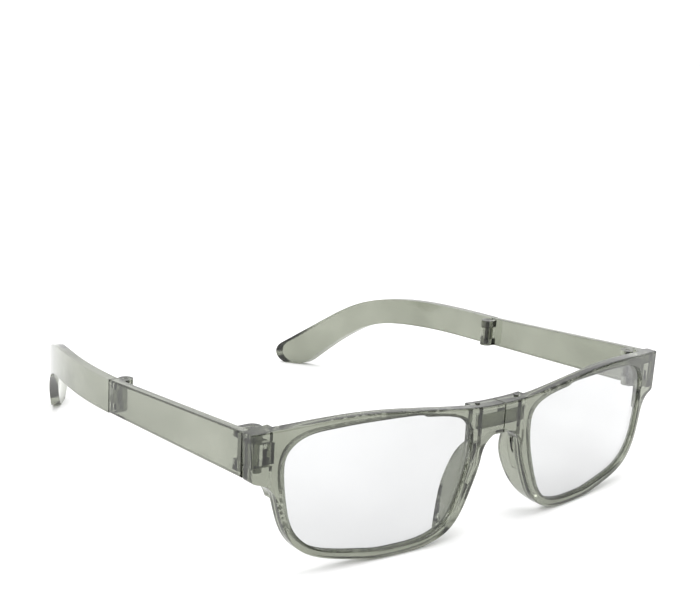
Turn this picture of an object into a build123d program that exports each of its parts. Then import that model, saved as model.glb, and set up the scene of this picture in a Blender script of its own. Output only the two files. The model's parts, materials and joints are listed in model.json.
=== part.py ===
from build123d import *
import math
import os

# Folding reading glasses, open and standing on the rims and the arm tips.
# Millimetres. +X is the wearer's left-to-right as seen from the front, the
# lenses face -Y, the arms run back along +Y and the floor is z = 0.
# The right half (positive x) is modelled, and the left half is its mirror.

# Front
HALF_WIDTH = 69.0
FRONT_SAG = 8.0
FRONT_THICK = 3.2
SPLIT_HALF_GAP = 0.2
EDGE_ROUND = 0.5
GROOVE_DEPTH = 0.6
LENS_THICK = 1.8
LENS_SETBACK = 0.7

# End piece and its hinge with the arm
END_BACK_Y = 3.3
END_BLOCK_X = (62.6, 80.0)
END_BLOCK_FRONT_Y = 1.0
JOINT_GAP = 0.3
ARM_THICK = 2.6
END_PIN_X = HALF_WIDTH - ARM_THICK - 2.2
END_PIN_Y = 6.3
END_BARREL_R = 2.0
END_LUG_Z = (26.4, 31.2)

# Arms
MID_PIN_Y = 61.0
MID_PIN_X = HALF_WIDTH - ARM_THICK - 2.1
MID_BARREL_R = 1.9
MID_KNUCKLE_Z = (24.2, 27.6)
ARM_FRONT_Z = (23.4, 33.8)
ARM_MID_Z = (21.6, 30.2)
KNUCKLE_GAP = 0.15
KNUCKLE_INSET_LOW = 0.4
KNUCKLE_INSET_HIGH = 0.3
KNUCKLE_ROOT = 0.4

# Pins
PIN_R = 0.6
RUNNING_CLEARANCE = 0.05
PIN_INSET_LOW = 0.6
PIN_INSET_HIGH = 0.4

# Bridge
BRIDGE_PIN_X = 6.7
BRIDGE_PIN_Y = -FRONT_SAG + 3.0
BRIDGE_PIN_Z = (24.8, 32.7)
LINK_Z = (26.9, 30.1)
LINK_HALF_THICK = 1.35
LINK_GAP = 0.2
STUB_BACK_Y = -FRONT_SAG + 4.7
STUB_FRONT_Y = BRIDGE_PIN_Y - 1.0
STUB_HALF_WIDTH = 9.2

# Nose pad: a fin behind the nasal side of the rim
PAD_SPAN = (0.17, 0.86)
PAD_THICK = 1.7
PAD_SPLAY = 5.0
PAD_MIDDLE_Z = 13.6
PAD_HALF_HEIGHT = 10.6
PAD_ROOT_Y = -FRONT_SAG + 2.5
PAD_TRIM_Y = PAD_ROOT_Y + 1.2
PAD_DEPTH = 6.6

# Recess around the root of the end piece's hinge lug
LUG_RECESS_X = (61.9, 67.4)
LUG_RECESS_Z = (25.9, 31.6)
LUG_RECESS_FLOOR_Y = 1.7
LUG_ROOT_Y = LUG_RECESS_FLOOR_Y - 0.3

# Cutters and slabs reach well past the solids they meet
FRONT_REACH = (-20.0, 20.0)
FLOOR_TO_TOP = (0.0, 60.0)
WRAP_HEIGHT = 100.0
WRAP_DEPTH = 60.0
ARM_REACH_X = (30.0, 80.0)
PAD_REACH = 30.0
ROUNDED_FROM_X = 1.0

CURVE_R = (HALF_WIDTH**2 + FRONT_SAG**2) / (2 * FRONT_SAG)
CURVE_Y = CURVE_R - FRONT_SAG

TOP_EDGE = [
    (SPLIT_HALF_GAP, 32.3),
    (11.7, 32.8),
    (23.4, 34.1),
    (35.0, 35.2),
    (44.0, 35.5),
    (56.0, 35.0),
    (HALF_WIDTH, 34.1),
]
OUTER_SIDE = [
    (68.6, 23.6),
    (66.4, 22.3),
    (63.6, 20.4),
    (62.3, 17.2),
    (60.4, 11.0),
    (57.0, 6.2),
    (50.0, 2.8),
    (41.0, 0.9),
    (31.0, 0.0),
]
NASAL_SIDE = [
    (31.0, 0.0),
    (22.0, 0.6),
    (15.6, 3.0),
    (11.9, 7.2),
    (9.3, 12.5),
    (7.0, 18.6),
    (5.4, 22.9),
    (3.6, 24.4),
    (SPLIT_HALF_GAP, 24.7),
]
OPENING_TEMPORAL = [
    (40.0, 33.5),
    (50.0, 33.1),
    (57.2, 31.6),
    (60.4, 28.4),
    (60.9, 24.0),
    (60.1, 17.0),
    (58.2, 10.8),
    (54.6, 6.9),
    (47.6, 4.2),
    (39.0, 2.7),
    (30.0, 2.1),
]
OPENING_NASAL = [
    (30.0, 2.1),
    (22.4, 2.7),
    (17.2, 5.0),
    (13.9, 10.0),
    (11.7, 16.0),
    (10.2, 23.6),
    (10.9, 28.2),
    (14.6, 30.8),
    (24.0, 32.5),
    (40.0, 33.5),
]

# Rear arm: side view (y, z), then its outline from above (x, y)
REAR_TOP = [
    (MID_PIN_Y + JOINT_GAP / 2, ARM_MID_Z[1]),
    (80.0, 29.8),
    (98.0, 28.8),
    (113.0, 25.2),
    (126.0, 16.8),
    (137.4, 7.4),
]
TIP_ROUND = (138.6, 1.9)
REAR_BOTTOM = [
    (133.4, 0.0),
    (128.6, 2.8),
    (119.5, 11.4),
    (109.5, 17.8),
    (96.0, 20.6),
    (80.0, 21.3),
    (MID_PIN_Y + JOINT_GAP / 2, ARM_MID_Z[0]),
]
REAR_OUTER = [(HALF_WIDTH, MID_PIN_Y), (67.4, 84.0), (59.8, 111.0), (42.0, 141.0)]
REAR_INNER = [(HALF_WIDTH - ARM_THICK, MID_PIN_Y), (64.9, 83.4), (57.6, 109.8), (40.0, 139.6)]


def upright(x, y, radius, low, high):
    """A vertical cylinder between two heights."""
    return Pos(x, y, (low + high) / 2) * Cylinder(radius, high - low)


def block(x_range, y_range, z_range):
    """A box between two corners."""
    size = [high - low for low, high in (x_range, y_range, z_range)]
    middle = [(high + low) / 2 for low, high in (x_range, y_range, z_range)]
    return Pos(*middle) * Box(*size)


def wrap_shell(outer_r, inner_r):
    """The space between two upright cylinders that follow the wrap of the front."""
    ring = Cylinder(outer_r, WRAP_HEIGHT) - Cylinder(inner_r, WRAP_HEIGHT)
    front_part = Pos(0, -CURVE_Y, 0) * Box(4 * HALF_WIDTH, WRAP_DEPTH, WRAP_HEIGHT)
    return Pos(0, CURVE_Y, 0) * (ring & front_part)


def front_slab(face, low_y, high_y):
    """A face drawn in the front view, pulled through a range of y."""
    return Pos(0, low_y, 0) * extrude(Plane.XZ * face, high_y - low_y, dir=(0, 1, 0))


def rim_face():
    top = Spline(*TOP_EDGE)
    end = Line(TOP_EDGE[-1], OUTER_SIDE[0])
    outer = Spline(*OUTER_SIDE, tangents=[(-0.3, -1.0), (-1.0, 0.0)])
    nasal = Spline(*NASAL_SIDE, tangents=[(-1.0, 0.0), (-1.0, 0.0)])
    split = Line(NASAL_SIDE[-1], TOP_EDGE[0])
    return make_face([top, end, outer, nasal, split])


def opening_edges():
    temporal = Spline(*OPENING_TEMPORAL, tangents=[(1.0, 0.0), (-1.0, 0.0)])
    nasal = Spline(*OPENING_NASAL, tangents=[(-1.0, 0.0), (1.0, 0.0)])
    return [temporal, nasal]


def grown(edge, distance, steps=14):
    """The edge moved outwards by a distance, to its left as it runs clockwise."""
    points = []
    for step in range(steps + 1):
        place = edge @ (step / steps)
        along = edge % (step / steps)
        points.append((place.X - along.Y * distance, place.Y + along.X * distance))
    return Spline(*points, tangents=[edge % 0, edge % 1])


def opening_face():
    return make_face(opening_edges())


def pad_strip():
    """A thin strip along the nasal edge, in the front view."""
    edge = Spline(*NASAL_SIDE, tangents=[(-1.0, 0.0), (-1.0, 0.0)])
    steps = 8
    outer = []
    inner = []
    for step in range(steps + 1):
        t = PAD_SPAN[0] + (PAD_SPAN[1] - PAD_SPAN[0]) * step / steps
        place = edge @ t
        along = edge % t
        outer.append((place.X, place.Y))
        inner.append((place.X + along.Y * PAD_THICK, place.Y - along.X * PAD_THICK))
    ends = [Line(outer[-1], inner[-1]), Line(inner[0], outer[0])]
    return make_face([Spline(*outer), ends[0], Spline(*inner[::-1]), ends[1]])


def nose_pad():
    """The strip swept back and a little outwards, trimmed to a half oval in the side view."""
    splay = math.radians(PAD_SPLAY)
    way = (math.sin(splay), math.cos(splay), 0)
    strip = Pos(0, PAD_ROOT_Y, 0) * extrude(Plane.XZ * pad_strip(), 2 * PAD_DEPTH, dir=way)
    oval = Plane.YZ * Pos(PAD_ROOT_Y, PAD_MIDDLE_Z) * Ellipse(PAD_DEPTH, PAD_HALF_HEIGHT)
    return strip & extrude(oval, PAD_REACH, both=True)


def bridge_cutouts():
    """The pocket for the link in the back of the stub, and the pin's hole."""
    pocket_z = (LINK_Z[0] - LINK_GAP, LINK_Z[1] + LINK_GAP)
    reach = LINK_HALF_THICK + LINK_GAP
    pocket = block((-1, BRIDGE_PIN_X), (BRIDGE_PIN_Y - reach, STUB_BACK_Y + 1), pocket_z)
    pocket += upright(BRIDGE_PIN_X, BRIDGE_PIN_Y, reach, *pocket_z)
    pocket += block((BRIDGE_PIN_X, BRIDGE_PIN_X + reach), (BRIDGE_PIN_Y, STUB_BACK_Y + 1), pocket_z)
    hole = upright(BRIDGE_PIN_X, BRIDGE_PIN_Y, PIN_R + RUNNING_CLEARANCE, *FLOOR_TO_TOP)
    return pocket + hole


def end_hinge_lug():
    half = END_BARREL_R
    web = block((END_PIN_X - half, END_PIN_X + half), (LUG_ROOT_Y, END_PIN_Y), END_LUG_Z)
    return web + upright(END_PIN_X, END_PIN_Y, END_BARREL_R, *END_LUG_Z)


def right_rim():
    face = rim_face()
    opening = front_slab(opening_face(), *FRONT_REACH)
    rim = front_slab(face, *FRONT_REACH) & wrap_shell(CURVE_R, CURVE_R - FRONT_THICK)
    rim -= opening
    curved = rim.faces().filter_by(GeomType.CYLINDER)
    rounded = [edge for edge in curved.edges() if edge.center().X > ROUNDED_FROM_X]
    rim = fillet(rounded, EDGE_ROUND)
    end_block = block(END_BLOCK_X, (END_BLOCK_FRONT_Y, END_BACK_Y), FLOOR_TO_TOP)
    rim += front_slab(face, *FRONT_REACH) & end_block
    stub_block = block((SPLIT_HALF_GAP, STUB_HALF_WIDTH), (STUB_FRONT_Y, STUB_BACK_Y), FLOOR_TO_TOP)
    rim += (front_slab(face, *FRONT_REACH) & stub_block) - opening
    rim += nose_pad() - front_slab(opening_face(), FRONT_REACH[0], PAD_TRIM_Y)
    rim -= block(LUG_RECESS_X, (LUG_RECESS_FLOOR_Y, FRONT_REACH[1]), LUG_RECESS_Z)
    rim += end_hinge_lug()
    rim -= bridge_cutouts()
    rim -= upright(END_PIN_X, END_PIN_Y, PIN_R, *FLOOR_TO_TOP)
    return rim - right_lens()


def right_lens():
    outline = make_face([grown(edge, GROOVE_DEPTH) for edge in opening_edges()])
    outer_r = CURVE_R - LENS_SETBACK
    return front_slab(outline, *FRONT_REACH) & wrap_shell(outer_r, outer_r - LENS_THICK)


def side_solid(edges, low_x, high_x):
    """A face drawn in the side view (y, z), pulled through a range of x."""
    face = Plane.YZ * make_face(edges)
    return Pos(low_x, 0, 0) * extrude(face, high_x - low_x, dir=(1, 0, 0))


def knuckles_around(arm_z, middle_z):
    """The heights of the two outer knuckles, above and below a middle one."""
    return (
        (arm_z[0] + KNUCKLE_INSET_LOW, middle_z[0] - KNUCKLE_GAP),
        (middle_z[1] + KNUCKLE_GAP, arm_z[1] - KNUCKLE_INSET_HIGH),
    )


def right_front_arm():
    start = END_BACK_Y + JOINT_GAP
    end = MID_PIN_Y - JOINT_GAP / 2
    side = Polyline(
        (start, ARM_FRONT_Z[0]),
        (end, ARM_MID_Z[0]),
        (end, ARM_MID_Z[1]),
        (start, ARM_FRONT_Z[1]),
        close=True,
    )
    inner = HALF_WIDTH - ARM_THICK
    arm = side_solid(side, inner, HALF_WIDTH)
    arm = fillet(arm.edges().filter_by(Axis.Y, tolerance=5), EDGE_ROUND)
    for low, high in knuckles_around(ARM_FRONT_Z, END_LUG_Z):
        arm += upright(END_PIN_X, END_PIN_Y, END_BARREL_R, low, high)
        back = END_PIN_Y + END_BARREL_R
        arm += block((END_PIN_X, inner + KNUCKLE_ROOT), (END_PIN_Y, back), (low, high))
    for low, high in knuckles_around(ARM_MID_Z, MID_KNUCKLE_Z):
        arm += upright(MID_PIN_X, MID_PIN_Y, MID_BARREL_R, low, high)
        front = MID_PIN_Y - MID_BARREL_R
        arm += block((MID_PIN_X, inner + KNUCKLE_ROOT), (front, end), (low, high))
    arm -= upright(END_PIN_X, END_PIN_Y, PIN_R + RUNNING_CLEARANCE, *FLOOR_TO_TOP)
    return arm - upright(MID_PIN_X, MID_PIN_Y, PIN_R, *FLOOR_TO_TOP)


def rear_side_edges():
    """The rear arm in the side view: a long arch ending in a rounded tip on the floor."""
    return [
        Spline(*REAR_TOP, tangents=[(1.0, -0.02), (0.76, -0.65)]),
        ThreePointArc(REAR_TOP[-1], TIP_ROUND, REAR_BOTTOM[0]),
        Spline(*REAR_BOTTOM, tangents=[(-1.0, 0.08), (-1.0, 0.02)]),
        Line(REAR_BOTTOM[-1], REAR_TOP[0]),
    ]


def rear_plan_face():
    """The arm's outline from above: straight at the hinge, curving in to the tip."""
    edges = [
        Spline(*REAR_OUTER, tangents=[(0, 1), (-0.66, 0.75)]),
        Line(REAR_OUTER[-1], REAR_INNER[-1]),
        Spline(*REAR_INNER[::-1], tangents=[(0.66, -0.75), (0, -1)]),
        Line(REAR_INNER[0], REAR_OUTER[0]),
    ]
    return make_face(edges)


def right_rear_arm():
    plan = extrude(rear_plan_face(), FLOOR_TO_TOP[1], dir=(0, 0, 1))
    arm = side_solid(rear_side_edges(), *ARM_REACH_X) & plan
    inner = HALF_WIDTH - ARM_THICK
    start = MID_PIN_Y + JOINT_GAP / 2
    low, high = MID_KNUCKLE_Z
    arm += upright(MID_PIN_X, MID_PIN_Y, MID_BARREL_R, low, high)
    arm += block((MID_PIN_X, inner + KNUCKLE_ROOT), (start, MID_PIN_Y + MID_BARREL_R), (low, high))
    return arm - upright(MID_PIN_X, MID_PIN_Y, PIN_R + RUNNING_CLEARANCE, *FLOOR_TO_TOP)


def bridge_link():
    link = block(
        (-BRIDGE_PIN_X, BRIDGE_PIN_X),
        (BRIDGE_PIN_Y - LINK_HALF_THICK, BRIDGE_PIN_Y + LINK_HALF_THICK),
        LINK_Z,
    )
    for side in (-1, 1):
        link += upright(side * BRIDGE_PIN_X, BRIDGE_PIN_Y, LINK_HALF_THICK, *LINK_Z)
    for side in (-1, 1):
        link -= upright(side * BRIDGE_PIN_X, BRIDGE_PIN_Y, PIN_R, *FLOOR_TO_TOP)
    return link


def pin_between(x, y, z_range):
    """A pin held a little inside the arm's height."""
    low = z_range[0] + PIN_INSET_LOW
    return upright(x, y, PIN_R, low, z_range[1] - PIN_INSET_HIGH)


RIGHT_SIDE = {
    "rim": right_rim(),
    "lens": right_lens(),
    "front_arm": right_front_arm(),
    "rear_arm": right_rear_arm(),
    "bridge_pin": upright(BRIDGE_PIN_X, BRIDGE_PIN_Y, PIN_R, *BRIDGE_PIN_Z),
    "arm_pin": pin_between(END_PIN_X, END_PIN_Y, ARM_FRONT_Z),
    "mid_pin": pin_between(MID_PIN_X, MID_PIN_Y, ARM_MID_Z),
}

PIECES = {"bridge_link": bridge_link()}
for name, shape in RIGHT_SIDE.items():
    PIECES[f"right_{name}"] = shape
    PIECES[f"left_{name}"] = mirror(shape, about=Plane.YZ)

# The origin is on the floor, under the middle of the open glasses.
boxes = [shape.bounding_box() for shape in PIECES.values()]
middle_y = (min(box.min.Y for box in boxes) + max(box.max.Y for box in boxes)) / 2

os.makedirs("parts", exist_ok=True)
for name, shape in PIECES.items():
    export_step(Pos(0, -middle_y, 0) * shape, f"parts/{name}.step")
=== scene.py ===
import bpy
import json
import math
from mathutils import Matrix, Vector


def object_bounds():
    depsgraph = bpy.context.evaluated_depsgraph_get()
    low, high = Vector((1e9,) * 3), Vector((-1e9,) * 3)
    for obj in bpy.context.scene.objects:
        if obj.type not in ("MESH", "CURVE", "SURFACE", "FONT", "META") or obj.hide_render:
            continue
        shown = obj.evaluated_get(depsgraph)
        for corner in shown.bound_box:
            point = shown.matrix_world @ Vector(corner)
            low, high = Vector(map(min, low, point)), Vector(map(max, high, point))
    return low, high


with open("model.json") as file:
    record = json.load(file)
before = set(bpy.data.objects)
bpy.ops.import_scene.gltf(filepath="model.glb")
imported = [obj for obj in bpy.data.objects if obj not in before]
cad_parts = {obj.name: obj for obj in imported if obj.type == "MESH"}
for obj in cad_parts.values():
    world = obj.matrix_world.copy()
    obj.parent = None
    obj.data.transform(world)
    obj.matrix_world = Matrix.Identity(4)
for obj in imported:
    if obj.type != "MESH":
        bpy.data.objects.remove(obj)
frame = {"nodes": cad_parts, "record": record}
cad_low, cad_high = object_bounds()
centre = (cad_low + cad_high) / 2

# Camera: turned round from straight ahead to one side, and above the horizon.
CAMERA_AZIMUTH = -41.5
CAMERA_ELEVATION = 18.25
CAMERA_DISTANCE = 0.342
CAMERA_LENS = 64.4
CAMERA_TARGET = Vector((0.0, -0.0256, 0.015))
AIM_RIGHT = -0.0080
AIM_UP = 0.0295
CAMERA_ROLL = 3.1

CAMERA_SENSOR = 36.0
CAMERA_CLIP = (0.01, 50.0)

FLOOR_SIZE = 8.0
FLOOR_GAP = 0.0001

# Darker and lighter colour of each finish, mixed as a soft cloud
PLASTIC_TONES = ((0.23, 0.245, 0.193), (0.30, 0.316, 0.256))
LENS_TONES = ((0.64, 0.645, 0.65), (0.69, 0.695, 0.70))
STEEL_TONES = ((0.10, 0.10, 0.095), (0.22, 0.22, 0.21))
FLOOR_TONES = ((0.9, 0.9, 0.9), (0.92, 0.92, 0.92))
CARD_TONES = ((0.010, 0.010, 0.010), (0.018, 0.018, 0.018))
RAMP_ENDS = (0.35, 0.65)

PLASTIC_IOR = 1.49
LENS_IOR = 1.5
SHARP_EDGE = math.radians(28)

# Studio: (name, place from the middle of the object, watts, width)
AREA_LIGHTS = (
    ("overhead", (0.1, 0.1, 1.2), 7.0, 0.9),
    ("left_panel", (-1.0, -0.5, 0.7), 4.0, 0.6),
)
CARDS = (
    ("front_card", (0.16, -0.40, 0.14)),
    ("side_card", (-0.45, -0.05, 0.14)),
)
CARD_WIDTH = 0.90
CARD_HEIGHT = 0.30
SKY_STRENGTH = 1.12


def add_camera():
    azimuth = math.radians(CAMERA_AZIMUTH)
    elevation = math.radians(CAMERA_ELEVATION)
    back = Vector((
        math.sin(azimuth) * math.cos(elevation),
        -math.cos(azimuth) * math.cos(elevation),
        math.sin(elevation),
    ))
    right = back.cross(Vector((0, 0, -1))).normalized()
    up = back.cross(right)
    aim = CAMERA_TARGET + right * AIM_RIGHT + up * AIM_UP
    data = bpy.data.cameras.new("camera")
    data.lens = CAMERA_LENS
    data.sensor_width = CAMERA_SENSOR
    data.clip_start, data.clip_end = CAMERA_CLIP
    camera = bpy.data.objects.new("camera", data)
    bpy.context.scene.collection.objects.link(camera)
    camera.location = CAMERA_TARGET + back * CAMERA_DISTANCE
    toward = aim - camera.location
    turn = toward.to_track_quat("-Z", "Y").to_matrix().to_4x4()
    turn = turn @ Matrix.Rotation(math.radians(CAMERA_ROLL), 4, "Z")
    camera.rotation_euler = turn.to_euler()
    bpy.context.scene.camera = camera


def new_material(name):
    material = bpy.data.materials.new(name)
    material.use_nodes = True
    nodes = material.node_tree.nodes
    return material, nodes, material.node_tree.links, nodes["Principled BSDF"]


def mottle(nodes, links, tones, scale, detail=3.0):
    """A soft cloud of two colours in object space."""
    place = nodes.new("ShaderNodeTexCoord")
    noise = nodes.new("ShaderNodeTexNoise")
    noise.inputs["Scale"].default_value = scale
    noise.inputs["Detail"].default_value = detail
    ramp = nodes.new("ShaderNodeValToRGB")
    for element, position, tone in zip(ramp.color_ramp.elements, RAMP_ENDS, tones):
        element.position = position
        element.color = (*tone, 1)
    links.new(place.outputs["Object"], noise.inputs["Vector"])
    links.new(noise.outputs["Fac"], ramp.inputs["Fac"])
    return noise, ramp


def cloudy_roughness(nodes, links, shader, noise, low, high):
    """Roughness that follows the same cloud as the colour."""
    rough = nodes.new("ShaderNodeMapRange")
    rough.inputs["To Min"].default_value = low
    rough.inputs["To Max"].default_value = high
    links.new(noise.outputs["Fac"], rough.inputs["Value"])
    links.new(rough.outputs["Result"], shader.inputs["Roughness"])


def fine_bump(nodes, links, shader, scale, strength, distance):
    place = nodes.new("ShaderNodeTexCoord")
    noise = nodes.new("ShaderNodeTexNoise")
    noise.inputs["Scale"].default_value = scale
    noise.inputs["Detail"].default_value = 4.0
    bump = nodes.new("ShaderNodeBump")
    bump.inputs["Strength"].default_value = strength
    bump.inputs["Distance"].default_value = distance
    links.new(place.outputs["Object"], noise.inputs["Vector"])
    links.new(noise.outputs["Fac"], bump.inputs["Height"])
    links.new(bump.outputs["Normal"], shader.inputs["Normal"])


def tinted_plastic():
    """Clear moulded plastic with a grey-green tint and faint flow marks."""
    material, nodes, links, shader = new_material("tinted_plastic")
    noise, ramp = mottle(nodes, links, PLASTIC_TONES, 60.0)
    links.new(ramp.outputs["Color"], shader.inputs["Base Color"])
    shader.inputs["Transmission Weight"].default_value = 0.97
    shader.inputs["IOR"].default_value = PLASTIC_IOR
    cloudy_roughness(nodes, links, shader, noise, 0.03, 0.10)
    fine_bump(nodes, links, shader, 220.0, 0.12, 0.0002)
    return material


def lens_glass():
    material, nodes, links, shader = new_material("lens_glass")
    noise, ramp = mottle(nodes, links, LENS_TONES, 25.0)
    links.new(ramp.outputs["Color"], shader.inputs["Base Color"])
    shader.inputs["Transmission Weight"].default_value = 1.0
    shader.inputs["IOR"].default_value = LENS_IOR
    cloudy_roughness(nodes, links, shader, noise, 0.0, 0.02)
    return material


def pin_steel():
    """Drawn steel wire: darker streaks along its length."""
    material, nodes, links, shader = new_material("pin_steel")
    noise, ramp = mottle(nodes, links, STEEL_TONES, 900.0)
    links.new(ramp.outputs["Color"], shader.inputs["Base Color"])
    shader.inputs["Metallic"].default_value = 1.0
    cloudy_roughness(nodes, links, shader, noise, 0.25, 0.45)
    return material


def floor_paint():
    material, nodes, links, shader = new_material("floor_paint")
    noise, ramp = mottle(nodes, links, FLOOR_TONES, 3.0)
    links.new(ramp.outputs["Color"], shader.inputs["Base Color"])
    shader.inputs["Roughness"].default_value = 0.8
    return material


def dress_nodes():
    finishes = {"frame_plastic": tinted_plastic(), "lens": lens_glass(), "pin_steel": pin_steel()}
    for entry in frame["record"]["subparts"]:
        node = frame["nodes"][entry["node"]]
        node.data.materials.clear()
        node.data.materials.append(finishes[entry["material_slot"]])
        if entry["material_slot"] == "lens":
            node.visible_shadow = False


def smooth_nodes():
    for node in frame["nodes"].values():
        for polygon in node.data.polygons:
            polygon.use_smooth = True
        modifier = node.modifiers.new("sharp edges", "EDGE_SPLIT")
        modifier.split_angle = SHARP_EDGE


def add_floor():
    half = FLOOR_SIZE / 2
    height = cad_low.z - FLOOR_GAP
    mesh = bpy.data.meshes.new("floor")
    corners = [(-half, -half, height), (half, -half, height), (half, half, height), (-half, half, height)]
    mesh.from_pydata(corners, [], [(0, 1, 2, 3)])
    floor = bpy.data.objects.new("floor", mesh)
    mesh.materials.append(floor_paint())
    bpy.context.scene.collection.objects.link(floor)


def add_area_light(name, location, power, width):
    data = bpy.data.lights.new(name, "AREA")
    data.energy = power
    data.size = width
    light = bpy.data.objects.new(name, data)
    light.location = centre + Vector(location)
    light.rotation_euler = (-Vector(location)).to_track_quat("-Z", "Y").to_euler()
    bpy.context.scene.collection.objects.link(light)


def card_black():
    """Matt black card, with the faint cloudiness of felt."""
    material, nodes, links, shader = new_material("card_black")
    noise, ramp = mottle(nodes, links, CARD_TONES, 20.0)
    links.new(ramp.outputs["Color"], shader.inputs["Base Color"])
    shader.inputs["Roughness"].default_value = 0.9
    return material


def add_card(name, location):
    """An upright black card that darkens the edges of the clear plastic."""
    mesh = bpy.data.meshes.new(name)
    across = CARD_WIDTH / 2
    tall = CARD_HEIGHT / 2
    corners = [(-across, -tall, 0), (across, -tall, 0), (across, tall, 0), (-across, tall, 0)]
    mesh.from_pydata(corners, [], [(0, 1, 2, 3)])
    mesh.materials.append(card_black())
    card = bpy.data.objects.new(name, mesh)
    card.location = centre + Vector(location)
    card.rotation_euler = Vector(location).to_track_quat("Z", "Y").to_euler()
    card.visible_camera = False
    card.visible_shadow = False
    card.visible_diffuse = False
    bpy.context.scene.collection.objects.link(card)


def light_scene():
    world = bpy.data.worlds.new("studio")
    world.use_nodes = True
    background = world.node_tree.nodes["Background"]
    background.inputs["Color"].default_value = (1.0, 1.0, 1.0, 1)
    background.inputs["Strength"].default_value = SKY_STRENGTH
    bpy.context.scene.world = world
    for light in AREA_LIGHTS:
        add_area_light(*light)
    for card in CARDS:
        add_card(*card)
    bpy.context.scene.view_settings.view_transform = "Standard"


add_camera()
smooth_nodes()
dress_nodes()
add_floor()
light_scene()
